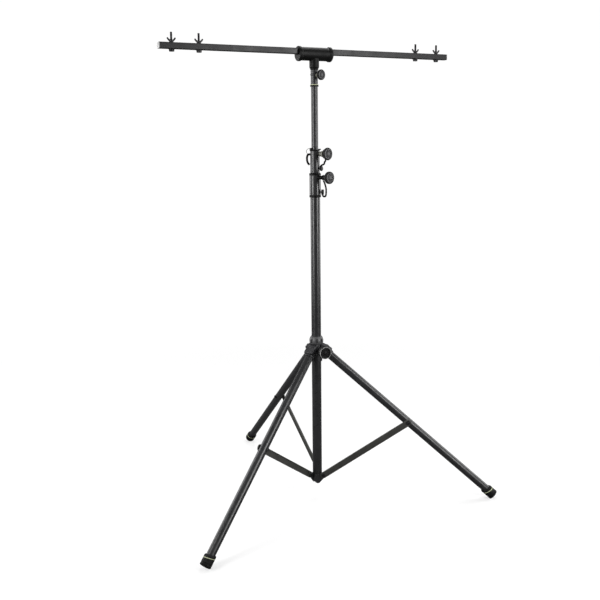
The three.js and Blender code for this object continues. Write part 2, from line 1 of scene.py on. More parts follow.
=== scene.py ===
"""Looks of a lighting stand: fine meshes, finishes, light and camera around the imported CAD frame.

Shapes are built in millimetres, each in the local frame of the CAD part it stands for, and
are then placed in metres in the object's frame. Places, lengths and axes come from the frame.
"""
import json
from math import atan2, cos, degrees, hypot, pi, radians, sin, tan

import bmesh
import bpy
from mathutils import Matrix, Vector


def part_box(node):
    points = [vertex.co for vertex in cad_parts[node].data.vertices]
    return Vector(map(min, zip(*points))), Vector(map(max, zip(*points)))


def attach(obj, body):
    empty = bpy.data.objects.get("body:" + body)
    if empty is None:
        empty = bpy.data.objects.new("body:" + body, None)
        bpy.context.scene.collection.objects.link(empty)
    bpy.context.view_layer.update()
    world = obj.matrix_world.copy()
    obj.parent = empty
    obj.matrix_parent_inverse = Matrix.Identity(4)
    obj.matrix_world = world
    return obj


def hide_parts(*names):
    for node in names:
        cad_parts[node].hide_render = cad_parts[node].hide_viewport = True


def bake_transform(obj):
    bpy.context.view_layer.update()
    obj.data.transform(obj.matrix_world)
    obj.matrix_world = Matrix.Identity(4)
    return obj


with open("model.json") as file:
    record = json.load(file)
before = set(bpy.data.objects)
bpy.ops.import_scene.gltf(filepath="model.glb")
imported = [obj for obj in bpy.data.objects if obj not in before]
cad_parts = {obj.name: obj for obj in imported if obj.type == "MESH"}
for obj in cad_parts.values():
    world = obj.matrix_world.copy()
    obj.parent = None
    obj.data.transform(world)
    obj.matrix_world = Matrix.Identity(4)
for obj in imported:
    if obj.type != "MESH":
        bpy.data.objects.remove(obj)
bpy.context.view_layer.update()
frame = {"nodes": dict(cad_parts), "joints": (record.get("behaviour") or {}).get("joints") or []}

MM = 0.001
NODES = frame["nodes"]
JOINTS = {joint["name"]: joint for joint in frame["joints"]}
SIDES = ("right", "rear", "left")

ROUND = 96  # sides of a tube or sleeve
SMALL_ROUND = 48  # sides of a bolt or a pin
CORNER_STEPS = 4  # points on a rounded corner
CRISP = radians(35)  # edges sharper than this keep a crisp line
THREAD_PITCH = 1.25  # of every M8 stud
THREAD_DEPTH = 0.5
STUD = 4.0  # radius of every M8 stud
HOLE = STUD + 0.3  # radius of a hole for one
HEX = 6.9  # radius, over the corners, of the pivot bolts' heads and nuts


# ---- Frames and sizes taken from the CAD

def frame_at(origin, z_axis, y_axis):
    """A placing matrix at origin, in metres, with its Z axis given and its Y axis close to y_axis."""
    z = Vector(z_axis).normalized()
    y = Vector(y_axis)
    y = (y - z * y.dot(z)).normalized()
    place = Matrix((y.cross(z), y, z)).transposed().to_4x4()
    place.translation = Vector(origin)
    return place


def lows_highs(node, place=None):
    """Lowest and highest corner of a CAD node in a placing frame, in millimetres."""
    inverse = (place or Matrix()).inverted()
    points = [inverse @ v.co / MM for v in NODES[node].data.vertices]
    low = Vector(min(p[i] for p in points) for i in range(3))
    high = Vector(max(p[i] for p in points) for i in range(3))
    return low, high


def heights(node):
    low, high = lows_highs(node)
    return low.z, high.z


def half_width(node):
    low, high = lows_highs(node)
    return (high.x - low.x) / 2


def middle(node):
    low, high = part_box(node)
    return (low + high) / 2


def outward_frame(joint):
    """For a knob: Z points out from the column along the knob's axis, from a point on the column."""
    axis = Vector(JOINTS[joint]["axis"])
    height = JOINTS[joint]["pos_m"][2]
    return frame_at((0, 0, height), axis, (0, 0, 1))


def pin_frame(joint, node):
    return frame_at((0, 0, middle(node).z), JOINTS[joint]["axis"], (0, 0, 1))


def leg_frame(side):
    """Origin at the leg's pivot in the hub, Z up the leg, Y along the pivot."""
    pivot = Vector(JOINTS["leg_fold_" + side]["pos_m"])
    return frame_at(pivot, pivot - middle("foot_ring_" + side), JOINTS["leg_fold_" + side]["axis"])


def brace_frame(side):
    """Origin at the brace's pivot on the column, Z up the brace, Y along the pivot."""
    joint = JOINTS["brace_fold_" + side]
    pivot, axis = Vector(joint["pos_m"]), -Vector(joint["axis"])
    rise = middle("brace_pivot_nut_" + side) - pivot
    return frame_at(pivot, rise - axis * rise.dot(axis), axis)


def sector_frame(side):
    """On the column's axis, X towards the leg, Y along its pivot, Z up."""
    return frame_at((0, 0, 0), (0, 0, 1), JOINTS["leg_fold_" + side]["axis"])


# ---- Mesh building

def rounded(points, closed=False):
    """Turns corners given as (a, b, radius) into soft curves. A corner given as (a, b) stays sharp."""
    result = []
    count = len(points)
    for i, point in enumerate(points):
        here = Vector(point[:2])
        is_end = not closed and i in (0, count - 1)
        if len(point) < 3 or is_end:
            result.append(tuple(here))
            continue
        before = Vector(points[i - 1][:2]) - here
        after = Vector(points[(i + 1) % count][:2]) - here
        reach = point[2] / tan(max(before.angle(after), 0.2) / 2)
        reach = min(reach, 0.48 * before.length, 0.48 * after.length)
        start, end = here + before.normalized() * reach, here + after.normalized() * reach
        for step in range(CORNER_STEPS + 1):
            t = step / CORNER_STEPS
            result.append(tuple(start * (1 - t) ** 2 + here * 2 * t * (1 - t) + end * t * t))
    return result


def bridge(bm, low, high):
    """Faces between two rings. A ring of one vertex is a pole."""
    if len(low) == 1 and len(high) == 1:
        return
    count = max(len(low), len(high))
    for i in range(count):
        j = (i + 1) % count
        corners = [low[i % len(low)], low[j % len(low)], high[j % len(high)], high[i % len(high)]]
        bm.faces.new(list(dict.fromkeys(corners)))


def lathe(profile, sides=ROUND, closed=False, wave=None):
    """A solid of revolution about Z. wave(radius, height, angle) may change the radius."""
    bm = bmesh.new()
    rings = []
    for r, z in rounded(profile, closed):
        if r < 1e-6:
            rings.append([bm.verts.new((0, 0, z))])
            continue
        ring = []
        for i in range(sides):
            angle = 2 * pi * i / sides
            radius = wave(r, z, angle) if wave else r
            ring.append(bm.verts.new((radius * cos(angle), radius * sin(angle), z)))
        rings.append(ring)
    following = rings[1:] + (rings[:1] if closed else [])
    for low, high in zip(rings, following):
        bridge(bm, low, high)
    bmesh.ops.recalc_face_normals(bm, faces=bm.faces)
    return bm


def cylinder(radius, low, high, edge=0.0, sides=SMALL_ROUND):
    return lathe([(0, low), (radius, low, edge), (radius, high, edge), (0, high)], sides)


def ring(inner, outer, low, high, edge=0.4, sides=ROUND):
    corners = [(inner, low), (outer, low), (outer, high), (inner, high)]
    return lathe([(*corner, edge) for corner in corners], sides, closed=True)


def prism(outline, low, high, edge=0.0):
    """An outline in X and Y, with rounded corners, pulled from low to high along Z."""
    bm = bmesh.new()
    rings = [[bm.verts.new((x, y, z)) for x, y in rounded(outline, True)] for z in (low, high)]
    bridge(bm, *rings)
    bm.faces.new(list(reversed(rings[0])))
    bm.faces.new(rings[1])
    bmesh.ops.recalc_face_normals(bm, faces=bm.faces)
    if edge:
        rims = [e for e in bm.edges if e.calc_face_angle(0) > CRISP]
        bmesh.ops.bevel(bm, geom=rims, offset=edge, segments=3, profile=0.5, affect="EDGES",
                        clamp_overlap=True)
    return bm


def hexagon(radius, low, high, edge):
    """A hexagonal prism with its corners turned off at both ends, as on a bolt head."""
    def clip(r, z, angle):
        flat = radius * cos(pi / 6) / cos(angle % (pi / 3) - pi / 6)
        return min(r, flat) if r > radius * 0.6 else r
    chamfer = 0.12 * radius
    flats = 0.86 * radius
    profile = [(0, low), (flats, low, edge), (radius, low + chamfer), (radius, high - chamfer),
               (flats, high, edge), (0, high)]
    return lathe(profile, 96, wave=clip)


def washer(radius, low, high):
    return ring(STUD + 0.2, radius, low, high, 0.3, SMALL_ROUND)


def threaded(low, high):
    """A stud with a real helical thread and tapered ends."""
    def thread(r, z, angle):
        if r < STUD * 0.7:
            return r
        phase = (z / THREAD_PITCH - angle / (2 * pi)) % 1.0
        return r - THREAD_DEPTH * abs(2 * phase - 1)
    steps = max(8, int((high - low) / THREAD_PITCH * 6))
    inside = [low + 0.8 + (high - low - 1.6) * i / steps for i in range(steps + 1)]
    tip = STUD - 0.9
    profile = [(0, low), (tip, low), *((STUD, z) for z in inside), (tip, high), (0, high)]
    return lathe(profile, 32, wave=thread)


def smooth_path(points, steps):
    """Points on a curve through the given ones, running on straight at the ends."""
    given = [Vector(p) for p in points]
    given = [2 * given[0] - given[1]] + given + [2 * given[-1] - given[-2]]
    path = []
    for a, b, c, d in zip(given, given[1:], given[2:], given[3:]):
        for i in range(steps):
            t = i / steps
            path.append(0.5 * (2 * b + (c - a) * t + (2 * a - 5 * b + 4 * c - d) * t * t
                               + (3 * b - a - 3 * c + d) * t ** 3))
    return path + [given[-2]]


def sweep(points, radius, sides, steps, twist=0.0):
    """A cord, wire or strap along a smooth path. twist gives it two raised, laid strands."""
    path = smooth_path(points, steps)
    bm = bmesh.new()
    rings = []
    normal = (path[1] - path[0]).orthogonal()
    travelled = 0.0
    for i, here in enumerate(path):
        tangent = (path[min(i + 1, len(path) - 1)] - path[max(i - 1, 0)]).normalized()
        normal = (normal - tangent * normal.dot(tangent)).normalized()
        side = tangent.cross(normal)
        travelled += (here - path[i - 1]).length if i else 0.0
        shrink = 0.7 if i in (0, len(path) - 1) else 1.0
        row = []
        for k in range(sides):
            angle = 2 * pi * k / sides
            swell = 1 + 0.12 * cos(2 * angle - twist * travelled) if twist else 1.0
            r = radius * shrink * swell
            row.append(bm.verts.new(here + normal * r * cos(angle) + side * r * sin(angle)))
        rings.append(row)
    for low, high in zip(rings, rings[1:]):
        bridge(bm, low, high)
    bm.faces.new(list(reversed(rings[0])))
    bm.faces.new(rings[-1])
    bmesh.ops.recalc_face_normals(bm, faces=bm.faces)
    return bm


def in_mm(place):
    """A placing frame in metres, for a mesh that is still in millimetres."""
    return Matrix.Translation(place.translation / MM) @ place.to_3x3().to_4x4()


def moved(bm, place):
    bmesh.ops.transform(bm, matrix=place, verts=bm.verts)
    return bm


def shift(x, y, z):
    return Matrix.Translation((x, y, z))


def turn(angle, axis):
    return Matrix.Rotation(radians(angle), 4, axis)


ALONG_X = turn(90, "Y")       # what stood along Z now lies along X
ALONG_Y = turn(-90, "X")      # what stood along Z now lies along Y
LYING = Matrix(((0, 0, 1, 0), (1, 0, 0, 0), (0, 1, 0, 0), (0, 0, 0, 1)))  # X, Y, Z become Y, Z, X


def joined(*parts):
    """One mesh from several closed shells."""
    whole = bmesh.new()
    for part in parts:
        mesh = bpy.data.meshes.new("part")
        part.to_mesh(mesh)
        part.free()
        whole.from_mesh(mesh)
        bpy.data.meshes.remove(mesh)
    return whole


def linked(name, data):
    """A new object in the scene."""
    made = bpy.data.objects.new(name, data)
    bpy.context.scene.collection.objects.link(made)
    return made


def as_object(bm):
    mesh = bpy.data.meshes.new("work")
    bm.to_mesh(mesh)
    bm.free()
    return linked("work", mesh)


def baked(worker, *helpers):
    """The worker's mesh with its modifiers applied, as a bmesh."""
    bpy.context.view_layer.update()
    graph = bpy.context.evaluated_depsgraph_get()
    mesh = bpy.data.meshes.new_from_object(worker.evaluated_get(graph))
    for helper in (worker, *helpers):
        old = helper.data
        bpy.data.objects.remove(helper)
        bpy.data.meshes.remove(old)
    bm = bmesh.new()
    bm.from_mesh(mesh)
    bpy.data.meshes.remove(mesh)
    return bm


def bored(bm, *holes):
    """bm with the holes cut out of it."""
    worker = as_object(bm)
    tool = as_object(joined(*holes))
    cut = worker.modifiers.new("cut", "BOOLEAN")
    cut.operation, cut.solver, cut.object = "DIFFERENCE", "EXACT", tool
    cut.use_self = True
    return baked(worker, tool)


def cast(bm, voxel, smoothing, keep):
    """Remeshes crossing shells into one skin whose edges and inside corners are softly rounded."""
    worker = as_object(bm)
    remesh = worker.modifiers.new("skin", "REMESH")
    remesh.mode, remesh.voxel_size = "VOXEL", voxel
    soften = worker.modifiers.new("soften", "SMOOTH")
    soften.factor, soften.iterations = 0.5, smoothing
    thin = worker.modifiers.new("thin", "DECIMATE")
    thin.ratio = keep
    return baked(worker)


# ---- Finishes

class Nodes:
    """A material's node tree, with short calls for what the finishes share."""

    def __init__(self, name):
        self.material = bpy.data.materials.new(name)
        self.material.use_nodes = True
        self.tree = self.material.node_tree
        self.shader = self.tree.nodes["Principled BSDF"]
        self.place = self.add("ShaderNodeTexCoord").outputs["Object"]

    def add(self, kind, **values):
        node = self.tree.nodes.new(kind)
        for key, value in values.items():
            if hasattr(node, key):
                setattr(node, key, value)
            else:
                node.inputs[key.replace("_", " ")].default_value = value
        return node

    def link(self, source, target):
        self.tree.links.new(source, target)

    def noise(self, size_mm, detail=2.0):
        """Noise with features of about size_mm, from 0 to 1."""
        noise = self.add("ShaderNodeTexNoise", Scale=1 / (size_mm * MM), Detail=detail)
        self.link(self.place, noise.inputs["Vector"])
        return noise.outputs["Fac"]

    def ranged(self, value, low, high, start=0.0, end=1.0):
        node = self.add("ShaderNodeMapRange")
        for key, number in zip(("From Min", "From Max", "To Min", "To Max"), (start, end, low, high)):
            node.inputs[key].default_value = number
        self.link(value, node.inputs["Value"])
        return node.outputs["Result"]

    def mixed(self, amount, first, second):
        """Mixes two colours, each a colour or a socket."""
        mix = self.add("ShaderNodeMix", data_type="RGBA")
        self.link(amount, mix.inputs["Factor"])
        for socket, colour in ((mix.inputs[6], first), (mix.inputs[7], second)):
            if isinstance(colour, tuple):
                socket.default_value = (*colour, 1)
            else:
                self.link(colour, socket)
        return mix.outputs[2]

    def worn_edges(self, radius_mm):
        """1 on sharp outside edges and 0 on flat or round surfaces."""
        bevel = self.add("ShaderNodeBevel", samples=4)
        bevel.inputs["Radius"].default_value = radius_mm * MM
        geometry = self.add("ShaderNodeNewGeometry")
        dot = self.add("ShaderNodeVectorMath", operation="DOT_PRODUCT")
        self.link(bevel.outputs["Normal"], dot.inputs[0])
        self.link(geometry.outputs["Normal"], dot.inputs[1])
        return self.ranged(dot.outputs["Value"], 1.0, 0.0, 0.80, 0.98)

    def bump(self, height, depth_mm):
        node = self.add("ShaderNodeBump")
        node.inputs["Distance"].default_value = depth_mm * MM
        self.link(height, node.inputs["Height"])
        return node.outputs["Normal"]


BLOTCH_MM = 35.0  # size of the slow drift in colour and roughness
EDGE_MM = 0.9  # width of a worn edge
PATCH_MM = 4.0  # size of the patches in the wear


def scaled(colour, factor):
    return tuple(min(1.0, channel * factor) for channel in colour)


def finish(name, colour, roughness, grain_mm, grain_depth, metallic, wear, shine):
    """A finish with colour that drifts, fine grain in bump and roughness, and lighter worn edges."""
    nodes = Nodes(name)
    blotch = nodes.noise(BLOTCH_MM, 3.0)
    grain = nodes.noise(grain_mm)
    base = nodes.mixed(nodes.ranged(blotch, 0, 1, 0.3, 0.7), scaled(colour, 0.85), scaled(colour, 1.15))
    flecked = nodes.mixed(nodes.ranged(grain, 0, 0.35, 0.55, 0.8), base, scaled(colour, 1.6))
    edge = nodes.worn_edges(EDGE_MM)
    patchy = nodes.add("ShaderNodeMath", operation="MULTIPLY")
    nodes.link(edge, patchy.inputs[0])
    nodes.link(nodes.ranged(nodes.noise(PATCH_MM), 0.2, 0.8, 0.35, 0.65), patchy.inputs[1])
    shown = nodes.mixed(patchy.outputs[0], flecked, scaled(colour, wear))
    nodes.link(shown, nodes.shader.inputs["Base Color"])
    drift = nodes.ranged(blotch, roughness - 0.06, roughness + 0.06, 0.3, 0.7)
    nodes.link(drift, nodes.shader.inputs["Roughness"])
    nodes.link(nodes.bump(grain, grain_depth), nodes.shader.inputs["Normal"])
    nodes.shader.inputs["Metallic"].default_value = metallic
    nodes.shader.inputs["Specular IOR Level"].default_value = shine
    return nodes.material


# Each finish: the record's slot, then the colour, roughness, size and depth of the grain, metallic
# share, brightness of worn edges against the colour, and specular level.
FINISHES = {
    "powder": ("powder_coat", (0.018, 0.018, 0.019), 0.30, 0.7, 0.04, 0.0, 3.0, 0.5),
    "bar": ("bar_coat", (0.009, 0.009, 0.010), 0.40, 0.7, 0.04, 0.0, 4.0, 0.3),
    "strip": ("powder_coat", (0.040, 0.040, 0.036), 0.42, 0.7, 0.04, 0.0, 2.5, 0.5),
    "cast": ("cast_alloy", (0.020, 0.020, 0.022), 0.38, 1.4, 0.20, 0.0, 4.0, 0.5),
    "clamp": ("clamp_plastic", (0.030, 0.030, 0.031), 0.24, 0.5, 0.03, 0.0, 2.5, 0.5),
    "collar": ("clamp_plastic", (0.070, 0.070, 0.072), 0.42, 0.6, 0.04, 0.0, 1.6, 0.5),
    "black": ("black_plastic", (0.003, 0.003, 0.003), 0.50, 0.5, 0.04, 0.0, 6.0, 0.16),
    "grip": ("knob_plastic", (0.004, 0.004, 0.004), 0.42, 0.5, 0.04, 0.0, 5.0, 0.2),
    "face": ("knob_plastic", (0.050, 0.050, 0.053), 0.42, 0.5, 0.04, 0.0, 2.0, 0.5),
    # painted highlight: this pale colour, on the ring round the hub knob's face, stands for the glint of
    # light on the knob's rim
    "painted_highlight": ("knob_plastic", (0.34, 0.34, 0.33), 0.35, 0.5, 0.04, 0.0, 1.6, 0.5),
    "neck": ("knob_plastic", (0.105, 0.103, 0.080), 0.42, 0.5, 0.04, 0.0, 1.6, 0.5),
    "rubber": ("rubber", (0.003, 0.003, 0.003), 0.60, 1.0, 0.10, 0.0, 5.0, 0.18),
    "lime": ("ring_plastic", (0.52, 0.55, 0.36), 0.40, 0.6, 0.03, 0.0, 1.2, 0.5),
    "steel": ("dark_steel", (0.008, 0.008, 0.009), 0.36, 0.4, 0.03, 0.1, 6.0, 0.3),
    "wire": ("dark_steel", (0.24, 0.24, 0.23), 0.30, 0.4, 0.02, 0.8, 1.2, 0.5),
    "cap": ("clamp_plastic", (0.34, 0.34, 0.34), 0.45, 0.6, 0.04, 0.0, 1.2, 0.5),
    "cord": ("cord", (0.002, 0.002, 0.002), 0.80, 0.6, 0.12, 0.0, 3.0, 0.1),
}
MATERIALS = {name: finish(name, *values) for name, (slot, *values) in FINISHES.items()}


# ---- Placing pieces

def piece(name, bm, finish_name, body, place=None, stands_for=()):
    """Makes a shape, in millimetres in its placing frame, a piece that rides on a CAD body.

    finish_name is a key of FINISHES. A piece without a body is not attached to any body.
    """
    mesh = bpy.data.meshes.new(name)
    bm.to_mesh(mesh)
    bm.free()
    mesh.transform((place or Matrix()) @ Matrix.Scale(MM, 4))
    mesh.shade_smooth()
    mesh.set_sharp_from_angle(angle=CRISP)
    mesh.materials.append(MATERIALS[finish_name])
    made = linked(name, mesh)
    if body:
        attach(made, body)
    if stands_for:
        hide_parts(*stands_for)
    return made


def stand_in(node, bm, finish_name, body, place=None):
    """The piece that stands for one CAD node."""
    return piece("visual_" + node, bm, finish_name, body, place, [node])


# ---- Column

TUBE_WALL = 1.5


def tube_piece(node, body):
    low, high = heights(node)
    outer = half_width(node)
    stand_in(node, ring(outer - TUBE_WALL, outer, low, high, 0.5), "powder", body)


def guide_piece(node, body, bore):
    """The plug in a sliding tube's lower end, with a ribbed running flange below it."""
    low, high = heights(node)
    flange = half_width(node)
    plug = flange - 3.0

    def ribs(r, z, angle):
        return r - 0.5 * (cos(12 * angle) > 0.6) if r > flange - 0.2 else r
    profile = [(bore, low, 0.5), (flange, low, 0.8), (flange, low + 11.7, 0.8), (plug, low + 12.2),
               (plug, high, 0.8), (bore, high, 0.5)]
    stand_in(node, lathe(profile, ROUND, True, ribs), "black", body)


EAR_WALL = 5.7  # thickness of a brace's ear on the column's foot
EAR_OFFSET = 10.5  # its distance from the middle plane of the brace's sector


def fitting_ear(side, bottom):
    """The web and eye for one brace, on the -Y side of its sector."""
    pivot = Vector(JOINTS["brace_fold_" + side]["pos_m"]) / MM
    reach = hypot(pivot.x, pivot.y)
    web = prism([(0, bottom + 3), (9, bottom + 5, 4), (reach + 8, pivot.z - 7, 6),
                 (reach + 2, pivot.z + 8, 6), (0, pivot.z + 6)], 0, EAR_WALL)
    web = moved(web, shift(0, -EAR_OFFSET, 0) @ turn(90, "X"))
    eye = moved(cylinder(9.4, 0, EAR_WALL), shift(reach, -EAR_OFFSET - EAR_WALL, pivot.z) @ ALONG_Y)
    return [moved(web, sector_frame(side)), moved(eye, sector_frame(side))]


def column_fitting():
    """The cast foot of the column: a cone with three ears for the braces."""
    bottom, top = heights("bottom_fitting")
    base = half_width("base_tube")
    tube_end = heights("base_tube")[0]
    cone = lathe([(0, bottom), (5, bottom, 0.6), (base, bottom + 13, 2), (base, tube_end - 0.3),
                  (base - 2, tube_end - 0.3), (base - 2, top, 1), (0, top)])
    ears = [shell for side in SIDES for shell in fitting_ear(side, bottom)]
    stand_in("bottom_fitting", cast(joined(cone, *ears), 0.8, 6, 0.5), "cast", "column")


# Each clamp: radii of its sleeve, bore and neck, how far its rims stand out, the heights of the
# rims, and the radius and end of the boss.
CLAMPS = {
    "lower_clamp_housing": {"outer": 21.7, "bore": 19.4, "neck": 16.5, "rim": 0.9, "top_rim": 9.0,
                            "bottom_rim": 8.0, "boss_radius": 7.2, "boss_end": 38},
    "upper_clamp_housing": {"outer": 18.2, "bore": 16.4, "neck": 13.5, "rim": 0.5, "top_rim": 5.0,
                            "bottom_rim": 0.0, "boss_radius": 7.0, "boss_end": 30},
}


def clamp_sleeve(node, body):
    """A clamp's satin sleeve and its dark rims."""
    low, high = heights(node)
    size = CLAMPS[node]
    outer, bore, neck = size["outer"], size["bore"], size["neck"]
    wide, top_rim, bottom_rim = outer + size["rim"], size["top_rim"], size["bottom_rim"]
    sleeve = ring(bore, outer, low + bottom_rim + 0.1, high - top_rim - 0.1, 0.5)
    stand_in(node, sleeve, "clamp", body)
    if bottom_rim:
        lower = lathe([(bore, low, 0.4), (wide, low, 1.4), (wide, low + bottom_rim, 1.0),
                       (bore, low + bottom_rim, 0.4)], ROUND, True)
        piece(node + "_lower_rim", lower, "black", body)
    upper = lathe([(bore, high - top_rim, 0.4), (wide, high - top_rim, 1.0), (wide, high - 2.5, 1.6),
                   (outer - 1.8, high, 1.2), (neck, high, 0.4), (neck, high - 3.0), (bore, high - 3.4)],
                  ROUND, True)
    piece(node + "_upper_rim", upper, "black", body)


def clamp_boss(node, body, knob_joint):
    """The dark boss that the knob's stud runs in."""
    low, high = heights(node)
    outer, radius, end = (CLAMPS[node][key] for key in ("outer", "boss_radius", "boss_end"))
    boss = lathe([(0, 8), (radius + 1, 8), (radius + 1, outer), (radius, outer + 3, 2),
                  (radius, end, 1.2), (0, end)], SMALL_ROUND)
    boss = moved(boss, in_mm(outward_frame(knob_joint)))
    core = cylinder(outer - 0.6, low - 20, high + 40, sides=ROUND)
    piece(node + "_boss", bored(boss, core), "black", body)


SOCKET_BORE = 13.3


def socket_sleeve():
    """The sleeve that takes the T-head's spigot, and its boss for the knob."""
    low, high = heights("top_socket")
    outer = half_width("top_socket") - 0.2
    foot, ledge = outer - 1.6, high - 14
    profile = [(SOCKET_BORE, low, 0.4), (foot, low, 1.0), (foot, ledge - 6, 1.5), (outer, ledge - 4, 0.8),
               (outer, ledge, 0.6), (outer - 1.2, ledge + 0.8, 0.6), (outer - 1.2, high, 1.4),
               (12.4, high, 0.5), (12.4, low + 16), (SOCKET_BORE, low + 16)]
    stand_in("top_socket", lathe(profile, ROUND, True), "cast", "top_section")
    boss = lathe([(0, 6), (7.5, 6), (7.5, outer + 0.8), (6.4, outer + 3, 2), (6.4, 22, 1), (0, 22)],
                 SMALL_ROUND)
    boss = moved(boss, in_mm(outward_frame("head_knob_turn")))
    core = cylinder(outer - 0.6, low - 5, high + 5, sides=ROUND)
    piece("top_socket_boss", bored(boss, core), "neck", "top_section")


def socket_ring():
    """The coloured ring under the socket, and its dark seat."""
    low, high = heights("socket_ring")
    wide = half_width("socket_ring")
    band = ring(SOCKET_BORE, wide, high - 2.6, high, 0.8)
    stand_in("socket_ring", band, "lime", "top_section")
    seat = ring(SOCKET_BORE, wide + 0.3, low - 1.2, high - 2.7, 1.0)
    piece("socket_ring_seat", seat, "black", "top_section")


def build_column():
    tube_piece("base_tube", "column")
    tube_piece("middle_tube", "middle_section")
    tube_piece("top_tube", "top_section")
    guide_piece("middle_tube_guide", "middle_section", 11)
    guide_piece("top_tube_guide", "top_section", 8)
    column_fitting()
    for node, body, knob_joint in (("lower_clamp_housing", "column", "lower_knob_turn"),
                                   ("upper_clamp_housing", "middle_section", "upper_knob_turn")):
        clamp_sleeve(node, body)
        clamp_boss(node, body, knob_joint)
    socket_sleeve()
    socket_ring()


# ---- Knobs

def knob_grip(back, front, radius, well, ribs):
    """The ribbed grip of a knob, with a well in its front for the face."""
    def ribbed(r, z, angle):
        if r < well + 1:
            return r
        return r - 0.5 + 0.5 * cos(ribs * angle)
    profile = [(0, back), (radius - 5, back, 1), (radius - 0.6, back + 0.6, 1.4), (radius, back + 3, 1),
               (radius, front - 2.4, 1.8), (radius - 2.0, front - 0.3, 1.2), (well, front - 0.3, 0.6),
               (well, front - 4.6), (0, front - 4.6)]
    return lathe(profile, ribs * 8, wave=ribbed)


def knob_face(front, radius):
    """The inset face: a raised rim, a ring of oval pockets and a domed middle."""
    disc = lathe([(0, front - 4.5), (radius, front - 4.5), (radius, front - 1.2, 0.7),
                  (radius - 2.4, front - 0.5, 0.8), (radius - 3.4, front - 1.3, 0.5),
                  (0.36 * radius, front - 1.3, 0.5), (0.32 * radius, front - 0.5, 0.5),
                  (0.16 * radius, front - 0.1, 2), (0, front)])
    pocket = [(0.40 * radius, -0.09 * radius, 1.2), (0.80 * radius, -0.15 * radius, 1.6),
              (0.80 * radius, 0.15 * radius, 1.6), (0.40 * radius, 0.09 * radius, 1.2)]
    pockets = [moved(prism(pocket, front - 3.6, front + 1), turn(36 * i, "Z")) for i in range(10)]
    return bored(disc, *pockets)


# Each knob: its body and joint, the neck's start and the grip's back (both from the column's
# axis), the neck's radius at its start and at the grip, the ribs, and the neck's and face's finish.
KNOBS = {
    "lower_clamp_knob": ("lower_knob", "lower_knob_turn", (38.3, 69.5, 7.4, 12), 30, "black", "face"),
    "upper_clamp_knob": ("upper_knob", "upper_knob_turn", (30.3, 64, 9.5, 19), 30, "neck", "face"),
    "socket_knob": ("head_knob", "head_knob_turn", (22.3, 30.5, 7, 12.5), 24, "neck", "face"),
    "hub_knob": ("hub_lock_knob", "hub_knob_turn", (46.3, 62, 9, 14), 26, "black", "grip"),
}


def knob_pieces(node, body, joint, shape, ribs, neck_finish, face_finish):
    """A clamping knob: ribbed grip, inset face, flared neck and threaded stud."""
    neck_start, back, neck_radius, flare = shape
    place = outward_frame(joint)
    low, high = lows_highs(node, place)
    front, radius = high.z, high.y
    well = 0.82 * radius
    stand_in(node, knob_grip(back, front, radius, well, ribs), "grip", body, place)
    piece(node + "_face", knob_face(front, well - 0.4), face_finish, body, place)
    neck = lathe([(0, neck_start), (neck_radius, neck_start, 0.8), (neck_radius, neck_start + 4, 2),
                  (flare - 1.5, back - 4, 4), (flare, back + 0.1), (0, back + 0.1)], SMALL_ROUND)
    piece(node + "_neck", neck, neck_finish, body, place)
    piece(node + "_stud", threaded(low.z, neck_start + 0.5), "steel", body, place)


def hub_knob_painted_highlight_ring():
    """A thin ring in a pale finish round the hub knob's face. Its pale colour is a painted highlight,
    standing for the glint of light on the knob's rim.
    """
    place = outward_frame("hub_knob_turn")
    high = lows_highs("hub_knob", place)[1]
    painted_highlight = ring(high.y - 2.3, high.y - 0.9, high.z - 1.6, high.z - 0.1, 0.5)
    piece("hub_knob_painted_highlight_ring", painted_highlight, "painted_highlight", "hub_lock_knob", place)


def build_knobs():
    for node, description in KNOBS.items():
        knob_pieces(node, *description)
    # the pale ring round the hub knob's face is a painted highlight
    hub_knob_painted_highlight_ring()


# ---- Safety pins, tethers and clip

def on_column(radius, bearing, height):
    angle = radians(bearing)
    return Vector((radius * cos(angle), radius * sin(angle), height))


def along(path):
    """Points from distances to the column's axis, azimuths and heights."""
    return [on_column(*point) for point in path]


def azimuth(joint):
    axis = JOINTS[joint]["axis"]
    return degrees(atan2(axis[1], axis[0]))


PIN_HEAD = 9.0  # depth of a safety pin's head


def pin_shank(node, body, place, tip, start):
    profile = [(0, tip), (2.2, tip), (3, tip + 1, 0.4), (3, start + 1), (0, start + 1)]
    piece(node + "_shank", lathe(profile, SMALL_ROUND), "steel", body, place)


def lower_pin():
    """A safety pin with a flat, waisted grip."""
    node = "lower_safety_pin"
    place = pin_frame("lower_pin_pull", node)
    low, high = lows_highs(node, place)
    start, wide, tall = high.z - PIN_HEAD, high.x, high.y
    pin_shank(node, "lower_pin", place, low.z, start)
    outline = [(wide - 0.6, -tall, 3), (wide, 0, 8), (wide - 0.6, tall, 3),
               (0.6 - wide, tall, 3), (-wide, 0, 8), (0.6 - wide, -tall, 3)]
    stand_in(node, prism(outline, start, high.z, 1.4), "black", "lower_pin", place)


def upper_pin():
    """A safety pin with a small round ribbed head."""
    node = "upper_safety_pin"
    place = pin_frame("upper_pin_pull", node)
    low, high = lows_highs(node, place)
    start, rim = high.z - PIN_HEAD, high.y

    def ribbed(r, z, angle):
        return r - 0.4 + 0.4 * cos(20 * angle) if r > rim - 0.7 else r
    pin_shank(node, "upper_pin", place, low.z, start)
    head = lathe([(0, start), (rim - 2.5, start, 1), (rim, start + 2, 1.2), (rim, high.z - 2, 1.4),
                  (rim - 2.3, high.z - 0.1, 1.5), (0, high.z)], 120, wave=ribbed)
    stand_in(node, head, "grip", "upper_pin", place)


TETHER = 3.2  # radius of a tether
LOOP = 1.3  # radius of the thinner cord looped round a knob's neck


